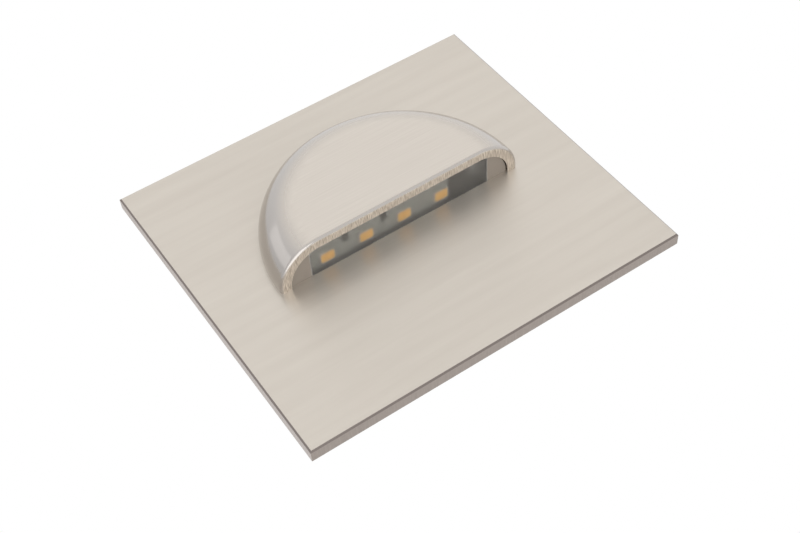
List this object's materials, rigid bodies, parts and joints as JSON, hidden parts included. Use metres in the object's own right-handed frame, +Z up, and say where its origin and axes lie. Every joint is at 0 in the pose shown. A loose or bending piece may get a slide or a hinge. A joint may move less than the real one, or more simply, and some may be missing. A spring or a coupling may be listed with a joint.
{
  "type": "step light",
  "caption": "Recessed wall step light: rectangular metal face plate, half-cup hood that throws LED light downwards, round housing behind with sprung side clips and a cable gland.",
  "frame": {"origin": "middle of the wall face, on the back of the foam gasket where it meets the wall", "axes": "+Z up as fitted, +X to the right seen from the room, -Y out into the room and +Y into the wall"},
  "size_m": [0.09, 0.0489, 0.08],
  "materials": {
    "brushed_stainless": "fine brushed, satin",
    "stainless_hood": "satin top, polished side, milled rim",
    "plain_stainless": "plain",
    "foam": "closed-cell, matte",
    "frosted_polycarbonate": "frosted",
    "silicone": "translucent white, satin",
    "silicone_dark": "satin",
    "bare_aluminium": "extruded, plain",
    "board_mask_grey": "solder mask",
    "board_mask_green": "solder mask",
    "white_package": "moulded",
    "amber_phosphor": "silicone with phosphor",
    "chip_black": "moulded",
    "lead_insulation": "soft insulation",
    "nickel_brass": "nickel plated",
    "ferrite": "sintered, sealed",
    "copper_winding": "enamelled wire",
    "capacitor_can": "drawn can",
    "terminal_plastic": "moulded",
    "cast_aluminium_coated": "fine-texture powder coat",
    "nylon_black": "moulded",
    "spring_sheet": "stamped sheet",
    "spring_wire": "drawn wire"
  },
  "bodies": {
    "body": {"face_plate": "brushed_stainless", "weld_studs": "plain_stainless", "wall_gasket": "foam", "hood": "stainless_hood", "hood_screws": "plain_stainless", "lens": "frosted_polycarbonate", "carrier_seal": "silicone", "led_carrier": "bare_aluminium", "led_board": "board_mask_grey", "led_packages": "white_package", "led_windows": "amber_phosphor", "led_resistors": "chip_black", "lead_plug": "silicone_dark", "led_leads": "lead_insulation", "housing_washers": "plain_stainless", "housing_nuts": "plain_stainless", "standoffs": "nickel_brass", "driver_board": "board_mask_green", "board_screws": "plain_stainless", "coil_core": "ferrite", "coil_winding": "copper_winding", "capacitor": "capacitor_can", "driver_chip": "chip_black", "driver_resistors": "chip_black", "terminal_block": "terminal_plastic", "terminal_screws": "plain_stainless", "housing": "cast_aluminium_coated", "housing_seal": "silicone", "cover_seal": "silicone", "rear_cover": "cast_aluminium_coated", "cover_screws": "plain_stainless", "gland_body": "nylon_black", "gland_ring": "silicone_dark", "gland_locknut": "nylon_black", "gland_seal": "silicone_dark", "gland_nut": "nylon_black", "clip_pin_left": "plain_stainless", "clip_spring_left": "spring_wire", "clip_pin_right": "plain_stainless", "clip_spring_right": "spring_wire"},
    "clip_left": {"clip_arm_left": "spring_sheet"},
    "clip_right": {"clip_arm_right": "spring_sheet"}
  },
  "joints": [
    {"name": "clip_left_hinge", "type": "hinge", "parent": "body", "child": "clip_left", "pos_m": [-0.029, 0.0108, 0], "axis": [0, 0, -1], "range_deg": [0, 113], "stiffness_Nm_per_rad": 0.04, "springref_deg": -45.84, "deforming": ["clip_spring_left"]},
    {"name": "clip_right_hinge", "type": "hinge", "parent": "body", "child": "clip_right", "pos_m": [0.029, 0.0108, 0], "axis": [0, 0, 1], "range_deg": [0, 113], "stiffness_Nm_per_rad": 0.04, "springref_deg": -45.84, "deforming": ["clip_spring_right"]}
  ]
}
